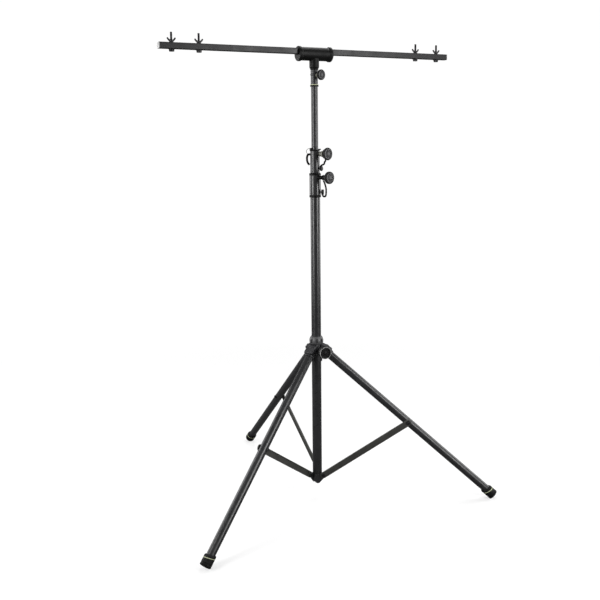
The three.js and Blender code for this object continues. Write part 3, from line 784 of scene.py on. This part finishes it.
def tether(node, loop, path):
    """A laid cord looped round a knob's neck. Its far end runs to the safety pin.

    loop gives the knob's joint, the loop's distance from the column's axis and its radius.
    """
    joint, reach, radius = loop
    points = along(path)
    circle = [(radius + LOOP * cos(a), reach + LOOP * sin(a))
              for a in (pi * i / 6 for i in range(12))]
    band = moved(lathe(circle, SMALL_ROUND, closed=True), in_mm(outward_frame(joint)))
    cord = joined(sweep(points, TETHER, 20, 12, 1.1), band)
    made = stand_in(node, cord, "cord", None)
    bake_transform(made)


def lower_tether():
    knob_side, pin_side = azimuth("lower_knob_turn"), azimuth("lower_pin_pull")
    neck = JOINTS["lower_knob_turn"]["pos_m"][2] / MM
    pin = middle("lower_safety_pin").z / MM
    path = [(45, knob_side, neck - 11.2), (49, knob_side + 3, neck - 22),
            (51.5, knob_side + 8, pin + 17), (51, pin_side - 14, pin + 2),
            (47, pin_side - 9, pin - 12), (40, pin_side - 3, pin - 17),
            (33, pin_side, pin - 15.5), (30.5, pin_side, pin - 9.5)]
    tether("lower_tether", ("lower_knob_turn", 45, 9.4), path)


def upper_tether():
    knob_side, pin_side = azimuth("upper_knob_turn"), azimuth("upper_pin_pull")
    neck = JOINTS["upper_knob_turn"]["pos_m"][2] / MM
    pin = middle("upper_safety_pin").z / MM
    path = [(56.5, knob_side, neck - 19.6), (54, knob_side + 2, neck - 26),
            (47, knob_side + 6, neck - 30), (41, pin_side - 5, pin + 17),
            (32, pin_side - 2, pin + 13.5), (25.5, pin_side, pin + 10), (22.4, pin_side, pin + 4)]
    tether("upper_tether", ("upper_knob_turn", 57, 17.9), path)


CLIP_AZIMUTH = 153.0  # the upper clamp's clip is on the far side from the knob


def ear(bearing, start, end, half, low, high):
    """A radial tab on the clamp's top rim, hollowed where the top tube slides through."""
    outline = [(start - 6, -half - 1), (end, -half, 1.6), (end, half, 1.6), (start - 6, half + 1)]
    tab = moved(prism(outline, low, high, 0.8), turn(bearing, "Z"))
    return bored(tab, cylinder(start, low - 5, high + 5, sides=ROUND))


def build_clip():
    """A black spring clip with a wire bail on the upper clamp, and two tabs at the clamp's top."""
    top, side, body = heights("upper_clamp_housing")[1], CLIP_AZIMUTH, "middle_section"
    piece("upper_clamp_ear_1", ear(side + 35, 16.4, 21.5, 5.5, top - 4, top + 7), "black", body)
    piece("upper_clamp_ear_2", ear(side - 145, 16.4, 27, 3, top - 1.5, top + 3.6), "black", body)
    clip = [(16.5, side, top - 18), (25, side, top - 17.5), (30, side, top - 26), (30.3, side, top - 38),
            (27, side, top - 50), (20.8, side, top - 57)]
    piece("upper_clamp_clip", sweep(along(clip), 4.1, 28, 10), "black", body)
    bail = [(20.5, side + 32, top + 5), (29, side + 14, top + 3), (32.5, side, top - 6),
            (29, side, top - 17)]
    piece("upper_clamp_bail", sweep(along(bail), 1.1, 16, 12), "wire", body)


# ---- Hub

HOOD_HALF = 19.6  # half the width of a hood over a leg's cap
HOOD_CHEEK = 16.9  # inside face of its cheeks
HOOD_ROOM = 20.3  # radius of the hollow that the cap turns in
HOOD_SKIN = 22.5  # radius of its rounded nose
BOLT_ROOM = 8.6  # radius of the openings for the pivot bolt's head and nut
LUG_HALF = 4.7  # half the thickness of the lug in the cap's slot


def hub_arm(reach, height, top):
    """One arm, in its leg's sector: a lug in the cap's slot, under a rounded hood with cheeks."""
    upright = shift(reach, 0, height) @ turn(90, "X")
    start, roof = 19.5 - reach, top - height
    nose = [(HOOD_SKIN * cos(radians(a)), HOOD_SKIN * sin(radians(a)))
            for a in range(30, 66, 5)]
    outline = [(start, -5), (-8, -5, 3), (8, 2.4, 4), *nose, (1, 29.5, 10), (-7, 31, 8), (-14, 35, 4),
               (start, roof)]
    hood = moved(prism(outline, -HOOD_HALF, HOOD_HALF, 3.4), upright)
    across = shift(reach, 0, height) @ ALONG_Y
    room = moved(cylinder(HOOD_ROOM, -HOOD_CHEEK, HOOD_CHEEK, sides=ROUND), across)
    bolt_room = moved(cylinder(BOLT_ROOM, -30, 30), across)
    hood = bored(hood, room, bolt_room)
    eye = moved(cylinder(9, -LUG_HALF, LUG_HALF), across)
    neck = prism([(start, -6.5), (0, -6.5), (0, 6.5), (start, 6.5)], -LUG_HALF, LUG_HALF)
    neck = moved(neck, upright)
    return joined(hood, eye, neck)


def hub_casting():
    """The sleeve, the lock knob's boss and the three arms, as one casting."""
    low, high = heights("hub_casting")
    base = half_width("base_tube")
    pivot = Vector(JOINTS["leg_fold_right"]["pos_m"]) / MM
    arm = hub_arm(hypot(pivot.x, pivot.y), pivot.z, high)
    sleeve = lathe([(base - 2, low), (base + 3.2, low, 1), (base + 4.2, low + 1.5, 1.5),
                    (base + 4.2, high - 1, 1), (base - 2, high)], ROUND, True)
    boss = lathe([(0, base), (12.5, base), (12.5, base + 3), (10, base + 8, 3), (10, 46, 1.5), (0, 46)])
    boss = moved(boss, in_mm(outward_frame("hub_knob_turn")))
    arms = [moved(arm.copy(), sector_frame(side)) for side in SIDES]
    arm.free()
    core = cylinder(base + 0.7, low - 10, high + 10, sides=ROUND)
    casting = bored(joined(sleeve, boss, *arms), core)
    stand_in("hub_casting", cast(casting, 0.7, 4, 0.4), "cast", "hub")


def hub_collar():
    """The collar above the hub: a rounded belly with a ring of oval pockets."""
    low, high = heights("hub_collar")
    base, wide = half_width("base_tube"), half_width("hub_collar")
    tall = high - low
    belly = []
    for i in range(21):
        share = (i / 20 - 0.45) * (tall - 6)
        fall = 0.014 if share < 0 else 0.022
        belly.append((wide - fall * share ** 2, low + 2 + (tall - 6) * i / 20))
    profile = [(base + 0.5, low, 0.4), (wide - 3.4, low, 0.8), *belly, (base + 2.6, high - 2.2, 1),
               (base + 2.2, high, 0.7), (base + 0.5, high, 0.5)]
    oval = [(4.6, 0, 2), (4.2, 7, 3), (0, 9.5, 4), (-4.2, 7, 3), (-4.6, 0, 2), (-4.2, -7, 3),
            (0, -9.5, 4), (4.2, -7, 3)]
    pockets = []
    for i in range(8):
        place = frame_at((0, 0, (low + 0.46 * tall) * MM), on_column(1, 22.5 + 45 * i, 0), (0, 0, 1))
        pockets.append(moved(prism(oval, wide - 4.4, wide + 3), in_mm(place)))
    stand_in("hub_collar", bored(lathe(profile, 128, True), *pockets), "collar", "hub")


# ---- Bolts and nuts

def pivot_bolt(node, body, place):
    """A pivot bolt along Y of its frame: hex head with washer at one end, lock nut at the other."""
    low, high = lows_highs(node, place)
    centre = Vector(((low.x + high.x) / 2, 0, (low.z + high.z) / 2))
    shank = cylinder(STUD, low.y + 3, high.y - 3, 0.2)
    washers = [washer(7.6, at, at + 1.0) for at in (low.y + 3.7, high.y - 4.7)]
    nut = hexagon(HEX, low.y + 0.3, low.y + 3.8, 0.3)
    dome = lathe([(0, low.y), (4.2, low.y, 1), (5.2, low.y + 1.2, 0.5), (0, low.y + 1.2)], SMALL_ROUND)
    head = hexagon(HEX, high.y - 3.8, high.y, 0.3)
    whole = moved(joined(shank, *washers, nut, dome, head), shift(*centre) @ ALONG_Y)
    stand_in(node, whole, "steel", body, place)


def build_bolts():
    for side in SIDES:
        pivot_bolt("hub_pivot_bolt_" + side, "hub", sector_frame(side))
        pivot_bolt("bottom_pivot_bolt_" + side, "column", sector_frame(side))


# ---- Legs and braces

SLOT_HALF = 5.9  # half the width of the slot in a leg's cap
CHEEK = 16.3  # half the cap's width between the hood's cheeks


def leg_cap():
    """The leg's cap in its leg's frame: a dome with a slot for the hub's lug and a collar on the tube."""
    angles = [radians(a) for a in range(0, 91, 9)]
    dome = [(18.4 * sin(a), 18.4 * cos(a)) for a in angles]
    body = lathe([(0, dome[0][1]), *dome[1:], (18.4, -6), (19.4, -8.5, 1), (19.4, -15, 1), (16.3, -15),
                  (16.3, -10.5), (14.2, -10.5), (14.2, -30, 1), (0, -30)])
    cheek_cuts = [prism([(-30, CHEEK), (30, CHEEK), (30, 30), (-30, 30)], -8, 30),
                  prism([(-30, -30), (30, -30), (30, -CHEEK), (-30, -CHEEK)], -8, 30)]
    swing = prism([(0, -7.4), (-40, -10.4), (-40, 37), (-18, 37), (6, 4.4)], -SLOT_HALF, SLOT_HALF)
    swing = moved(swing, turn(90, "X"))
    eye_room = moved(cylinder(10.2, -SLOT_HALF, SLOT_HALF), ALONG_Y)
    return cast(bored(body, *cheek_cuts, swing, eye_room), 0.7, 4, 0.45)


FOOT_SLANT = tan(radians(17))  # drop of the foot's upper end and ring across the foot
RING_HEIGHT = 2.2


def slanted(bm, wide, start, end):
    """Lets a foot's shape drop towards the outer side: not at all at start, and in full above end."""
    for vert in bm.verts:
        share = min(1.0, max(0.0, (vert.co.z - start) / (end - start)))
        vert.co.z -= share * FOOT_SLANT * (vert.co.x + wide)
    return bm


def foot_profile(end, top, wide, groove_low, groove_high):
    """Half the section of the foot: sole, fluted body, the ring's groove and the lip over it."""
    body = [(wide - 0.1, end + 12 + 1.8 * i) for i in range(11)]
    return [(0, end), (wide - 0.9, end, 0.6), (wide, end + 0.9), (wide, end + 5.6, 0.3),
            (wide - 1.7, end + 6.2, 0.3), (wide - 1.7, end + 7.8, 0.3), (wide - 0.2, end + 8.4, 0.6), *body,
            (wide - 0.2, groove_low - 0.4, 0.4), (wide - 1.6, groove_low - 0.4),
            (wide - 1.6, groove_high + 0.4), (wide, groove_high + 0.4, 0.7), (wide + 0.2, top - 5, 2.2),
            (18.4, top, 1.4), (16.3, top, 0.5), (16.3, end + 7.5), (0, end + 7.5)]


def cut_at_floor(bm, place, floor):
    """Cuts a shape off flat at the floor's height, in metres, and closes it."""
    bm = moved(bm, place @ Matrix.Scale(MM, 4))
    cut = bmesh.ops.bisect_plane(bm, geom=[*bm.verts, *bm.edges, *bm.faces], plane_co=(0, 0, floor),
                                 plane_no=(0, 0, -1), clear_outer=True)
    rim = [item for item in cut["geom_cut"] if isinstance(item, bmesh.types.BMEdge)]
    bmesh.ops.holes_fill(bm, edges=rim, sides=0)
    bmesh.ops.recalc_face_normals(bm, faces=bm.faces)
    return moved(bm, (place @ Matrix.Scale(MM, 4)).inverted())


def foot_cap(side, place):
    """The rubber foot, with flutes round its body and, below them, notches round its sole."""
    tube = lows_highs("leg_tube_" + side, place)[0].z
    groove_high = lows_highs("foot_ring_" + side, place)[1].z
    groove_low = groove_high - RING_HEIGHT
    end, top, wide = tube - 7.8, tube + 42.2, 21.0

    def flutes(r, z, angle):
        if r < wide - 1.2 or z > groove_low - 1.5:
            return r
        if z < end + 6:
            return r - 1.3 * (cos(16 * angle) > 0.55)
        fade = max(0.0, min(1.0, (z - end - 9) / 3, (groove_low - 3 - z) / 3))
        return r - 0.9 * fade * max(0.0, cos(16 * angle)) ** 2
    profile = foot_profile(end, top, wide, groove_low, groove_high)
    bm = slanted(lathe(profile, 160, wave=flutes), wide, end + 9, groove_low - 1.5)
    return cut_at_floor(bm, place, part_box("foot_cap_" + side)[0].z)


def foot_ring(side, place):
    high = lows_highs("foot_ring_" + side, place)[1]
    low = high.z - RING_HEIGHT
    return slanted(ring(19.5, high.y - 0.1, low, high.z, 0.6), high.y, low - 2, low - 1)


def brace_bolt(side, body, place):
    """The bolt through the leg that carries the brace, with its head and washer."""
    node = "brace_pivot_bolt_" + side
    low, high = lows_highs(node, place)
    parts = [cylinder(STUD, low.y, high.y - 3, 0.2), hexagon(HEX, high.y - 4, high.y, 0.3),
             washer(7.8, high.y - 5, high.y - 4)]
    whole = moved(joined(*parts), shift(0, 0, (low.z + high.z) / 2) @ ALONG_Y)
    stand_in(node, whole, "steel", body, place)


def leg_pieces(side, cap):
    body, place = "leg_" + side, leg_frame(side)
    low, high = lows_highs("leg_tube_" + side, place)
    tube = ring(high.y - TUBE_WALL, high.y, low.z, high.z, 0.5)
    stand_in("leg_tube_" + side, tube, "powder", body, place)
    stand_in("leg_cap_" + side, cap.copy(), "cast", body, place)
    stand_in("foot_cap_" + side, foot_cap(side, place), "rubber", body, place)
    stand_in("foot_ring_" + side, foot_ring(side, place), "lime", body, place)
    brace_bolt(side, body, place)


BRACE_WALL = 1.5


def brace_channel(low, half, high, length):
    """A shallow channel with round ends, hollow on the leg's side, and a hole at each end."""
    angles = range(0, 360, 10)
    ends = [(radians(a), length if a <= 180 else 0.0) for a in angles]
    outline = [(half * cos(a), base + half * sin(a)) for a, base in ends]
    upright = turn(90, "X") @ Matrix.Scale(-1, 4, (0, 0, 1))
    strip = moved(prism(outline, low, high, 1.6), upright)
    inner, start, end = half - BRACE_WALL, half + 4, length - half - 4
    inside = [(-inner, start, 5), (inner, start, 5), (inner, end, 5), (-inner, end, 5)]
    hollow = moved(prism(inside, low + BRACE_WALL, high + 1), upright)
    holes = [moved(cylinder(HOLE, low - 5, high + 5), shift(0, 0, z) @ ALONG_Y) for z in (0, length)]
    for bm in (strip, hollow):
        bmesh.ops.recalc_face_normals(bm, faces=bm.faces)
    return bored(strip, hollow, *holes)


def brace_nut(side, body, place, length):
    """The domed nut on the stub at the brace's upper end."""
    node = "brace_pivot_nut_" + side
    low, high = lows_highs(node, place)
    face = low.y + 6
    stub = cylinder(STUD, face - 1, high.y, 0.2)
    nut = hexagon(7, low.y + 2.2, face - 1.2, 0.3)
    dome = lathe([(0, low.y), (3.4, low.y + 0.5, 1.5), (5.2, low.y + 2.6, 1), (0, low.y + 2.6)],
                 SMALL_ROUND)
    parts = [stub, washer(8, face - 1.2, face), nut, dome]
    whole = moved(joined(*parts), shift(0, 0, length) @ ALONG_Y)
    stand_in(node, whole, "steel", body, place)


def brace_pieces(side):
    body, place = "brace_arm_" + side, brace_frame(side)
    low, high = lows_highs("brace_" + side, place)
    half = (high.x - low.x) / 2
    length = high.z - low.z - 2 * half
    stand_in("brace_" + side, brace_channel(low.y, half, high.y, length), "strip", body, place)
    brace_nut(side, body, place, length)


def build_legs():
    cap = leg_cap()
    for side in SIDES:
        leg_pieces(side, cap)
        brace_pieces(side)
    cap.free()


# ---- T-head and T-bar

def t_head():
    """The moulded T: a barrel with a collar at each end, round the square bar, on a short stem."""
    low, high = lows_highs("t_head")
    half, collar = high.x, high.y
    waist, centre = collar - 3, high.z - collar
    barrel = lathe([(0, -half), (collar - 2, -half, 1), (collar, -half + 2, 1.2), (collar, -half + 10.5, 1.2),
                    (waist, -half + 13, 1), (waist, half - 13, 1), (collar, half - 10.5, 1.2),
                    (collar, half - 2, 1.2), (collar - 2, half, 1), (0, half)])
    barrel = moved(barrel, shift(0, 0, centre) @ ALONG_X)
    stem_end = low.z - 2.2
    stem = lathe([(0, stem_end), (15.6, stem_end, 0.8), (16.2, low.z + 3, 1), (18.5, low.z + 6, 2),
                  (18.5, low.z + 9, 1), (18.5, centre), (0, centre)])
    bar_low, bar_high = lows_highs("t_bar")
    bar_height, side = (bar_low.z + bar_high.z) / 2, bar_high.y + 0.5
    slot = [(-side, bar_height - side), (side, bar_height - side), (side, bar_height + side),
            (-side, bar_height + side)]
    slot = moved(prism(slot, -half - 5, half + 5), LYING)
    bore = cylinder(half_width("t_head_spigot") + 0.5, low.z - 10, heights("t_head_spigot")[1] + 0.5)
    whole = cast(bored(joined(barrel, stem), slot, bore), 0.8, 5, 0.5)
    stand_in("t_head", whole, "black", "head")


def t_head_spigot():
    """The steel pin under the T, with a groove for the socket's knob."""
    low, high = heights("t_head_spigot")
    outer = half_width("t_head_spigot")
    profile = [(0, low), (outer - 1, low, 0.5), (outer, low + 1.5, 0.5), (outer, low + 9, 0.5),
               (outer - 1.2, low + 10, 0.6), (outer - 1.2, low + 18, 0.6), (outer, low + 19, 0.5),
               (outer, high, 0.8), (0, high)]
    stand_in("t_head_spigot", lathe(profile), "steel", "head")


def square(half, radius):
    return [(half, half, radius), (-half, half, radius), (-half, -half, radius), (half, -half, radius)]


BAR_WALL = 2.0
BAR_CORNER = 2.4


def build_bar():
    """The square tube with rounded corners, and its two plugs."""
    low, high = lows_highs("t_bar")
    out, centre = high.y, (low.z + high.z) / 2
    turned = shift(0, 0, centre) @ LYING
    skin = prism(square(out, BAR_CORNER), low.x, high.x)
    core = prism(square(out - BAR_WALL, 1.2), low.x - 5, high.x + 5)
    bolts = [middle(f"fixture_bolt_{i}").x / MM for i in range(1, 5)]
    holes = [moved(cylinder(HOLE, -20, 20), turned.inverted() @ shift(x, 0, centre)) for x in bolts]
    stand_in("t_bar", moved(bored(skin, core, *holes), turned), "bar", "head")
    for name, sign in (("bar_cap_left", -1), ("bar_cap_right", 1)):
        cap_low, cap_high = lows_highs(name)
        outer = cap_high.x if sign > 0 else -cap_low.x
        face = prism(square(out, BAR_CORNER), high.x + 0.2, outer, 0.9)
        plug = prism(square(out - BAR_WALL - 0.3, 1.0), high.x - 15, high.x + 0.3)
        cap = moved(joined(face, plug), turned)
        if sign < 0:
            cap = moved(cap, turn(180, "Z"))
        stand_in(name, cap, "cap", "head")


def wing_nut():
    """A cast wing nut standing on Z 0: a waisted hub and two leaf-shaped wings."""
    hub = lathe([(0, 0), (7.4, 0, 0.4), (7.4, 2.2, 0.6), (5.8, 4, 1), (5.6, 8.6, 0.8), (0, 8.6)],
                SMALL_ROUND)
    leaf = [(2, 1.2), (6.5, 1.2, 1), (13.8, 8.8, 3), (16.6, 13.2, 2.5), (15, 16.2, 2), (12, 16, 2),
            (9.4, 12.2, 3), (2, 7.5)]
    wings = [moved(prism(leaf, -1.7, 1.7), turn(angle, "Z") @ turn(90, "X")) for angle in (0, 180)]
    return cast(bored(joined(hub, *wings), cylinder(STUD + 0.25, -2, 30)), 0.4, 3, 0.6)


def build_fixings():
    """The four lamp bolts in the bar, each with its washer and wing nut."""
    nut = wing_nut()
    bar_bottom = heights("t_bar")[0]
    for i in range(1, 5):
        bolt, wings = f"fixture_bolt_{i}", f"wing_nut_{i}"
        low, high = lows_highs(bolt)
        x = (low.x + high.x) / 2
        head = hexagon(9.8, low.z, bar_bottom - 1.9, 0.4)
        parts = [head, washer(10.8, bar_bottom - 1.8, bar_bottom - 0.2), threaded(bar_bottom - 3, high.z)]
        stand_in(bolt, moved(joined(*parts), shift(x, 0, 0)), "steel", "head")
        stand_in(wings, moved(nut.copy(), shift(x, 0, heights(wings)[0])), "steel", wings)
    nut.free()


# ---- Stage, light and camera

# The camera: its distance from the column's axis and its height in metres, angles in degrees, and
# the lens in mm.
VIEW = {"distance": 3.1743, "azimuth": -117.40, "height": 1.38354,
        "heading": 63.75, "tilt": -10.89, "roll": -0.665, "lens": 48.8}
BACKDROP = 1.02  # brightness of the floor and of the background behind it
WORLD_FILL = 0.17  # brightness of the surroundings as the stand sees them
FLOOR_RADIUS = 30.0
FLOOR_GLOW = 0.55  # share of the backdrop's own light in the floor beside the stand
FLOOR_FADE = (0.9, 3.0)  # distances, in metres, between which it becomes all backdrop
FLOOR_BOUNCE = (0.13, 0.13, 0.13)  # its colour as the stand sees it
FLOOR_GAP = 0.0004  # metres between the feet and the floor

AIM_HEIGHT = 0.9  # the softboxes point at the column at this height
# Each softbox: bearing in degrees from the camera's side, distance, height, width, height of the
# box and power.
SOFTBOXES = {
    "left_softbox": (-52, 3.4, 1.7, 1.2, 2.6, 95),
    "right_softbox": (52, 3.4, 1.7, 1.2, 2.6, 85),
    "left_edge_softbox": (-112, 3.2, 1.6, 2.0, 2.6, 60),
    "right_edge_softbox": (112, 3.2, 1.6, 2.0, 2.6, 60),
    "top_softbox": (160, 1.6, 3.8, 2.5, 2.5, 70),
}


def build_camera():
    data = bpy.data.cameras.new("camera")
    data.lens = VIEW["lens"]
    data.sensor_width = 36.0
    data.clip_end = 100.0
    camera = linked("camera", data)
    bpy.context.scene.camera = camera
    around = radians(VIEW["azimuth"])
    place = shift(VIEW["distance"] * cos(around), VIEW["distance"] * sin(around), VIEW["height"])
    aim = turn(VIEW["heading"] - 90, "Z") @ turn(90 + VIEW["tilt"], "X")
    camera.matrix_world = place @ aim @ turn(VIEW["roll"], "Z")


def softbox(name, bearing, distance, height, width, tall, power):
    """A large soft light aimed at the stand."""
    data = bpy.data.lights.new(name, "AREA")
    data.shape, data.size, data.size_y, data.energy = "RECTANGLE", width, tall, power
    light = linked(name, data)
    angle = radians(VIEW["heading"] + 180 + bearing)
    light.location = (distance * cos(angle), distance * sin(angle), height)
    aim = Vector((0, 0, AIM_HEIGHT)) - light.location
    light.rotation_mode = "QUATERNION"
    light.rotation_quaternion = aim.to_track_quat("-Z", "Y")


def seen_by_camera(tree, others, camera):
    """A shader that the camera sees as one thing and every other ray as another."""
    path = tree.nodes.new("ShaderNodeLightPath")
    mix = tree.nodes.new("ShaderNodeMixShader")
    tree.links.new(path.outputs["Is Camera Ray"], mix.inputs[0])
    tree.links.new(others, mix.inputs[1])
    tree.links.new(camera, mix.inputs[2])
    return mix.outputs[0]


def build_floor():
    """A pale disc that turns into the backdrop with distance and throws little light upward."""
    mesh = bpy.data.meshes.new("floor")
    disc = bmesh.new()
    bmesh.ops.create_circle(disc, cap_ends=True, segments=96, radius=FLOOR_RADIUS)
    disc.to_mesh(mesh)
    disc.free()
    floor = linked("floor", mesh)
    floor.location.z = min(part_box("foot_cap_" + side)[0].z for side in SIDES) - FLOOR_GAP
    nodes = Nodes("floor")
    nodes.shader.inputs["Base Color"].default_value = (0.9, 0.9, 0.9, 1)
    nodes.shader.inputs["Roughness"].default_value = 0.9
    glow = nodes.add("ShaderNodeEmission", Strength=BACKDROP)
    distance = nodes.add("ShaderNodeVectorMath", operation="LENGTH")
    nodes.link(nodes.place, distance.inputs[0])
    share = nodes.ranged(distance.outputs["Value"], FLOOR_GLOW, 1.0, *FLOOR_FADE)
    mix = nodes.add("ShaderNodeMixShader")
    nodes.link(share, mix.inputs[0])
    nodes.link(nodes.shader.outputs[0], mix.inputs[1])
    nodes.link(glow.outputs[0], mix.inputs[2])
    dim = nodes.add("ShaderNodeBsdfDiffuse")
    dim.inputs["Color"].default_value = (*FLOOR_BOUNCE, 1)
    output = next(n for n in nodes.tree.nodes if n.type == "OUTPUT_MATERIAL")
    nodes.link(seen_by_camera(nodes.tree, dim.outputs[0], mix.outputs[0]), output.inputs["Surface"])
    mesh.materials.append(nodes.material)


def build_world():
    """A pale background for the camera, and a dimmer, even fill for everything else."""
    world = bpy.data.worlds.new("studio")
    bpy.context.scene.world = world
    world.use_nodes = True
    tree = world.node_tree
    fill, shown = tree.nodes["Background"], tree.nodes.new("ShaderNodeBackground")
    for background, strength in ((fill, WORLD_FILL), (shown, BACKDROP)):
        background.inputs["Color"].default_value = (1, 1, 1, 1)
        background.inputs["Strength"].default_value = strength
    surface = seen_by_camera(tree, fill.outputs[0], shown.outputs[0])
    tree.links.new(surface, tree.nodes["World Output"].inputs["Surface"])


def build_stage():
    bpy.context.scene.view_settings.view_transform = "Standard"
    build_floor()
    build_world()
    for name, description in SOFTBOXES.items():
        softbox(name, *description)


build_column()
build_knobs()
lower_pin()
upper_pin()
lower_tether()
upper_tether()
build_clip()
hub_casting()
hub_collar()
build_bolts()
build_legs()
t_head()
t_head_spigot()
build_bar()
build_fixings()
build_stage()
build_camera()
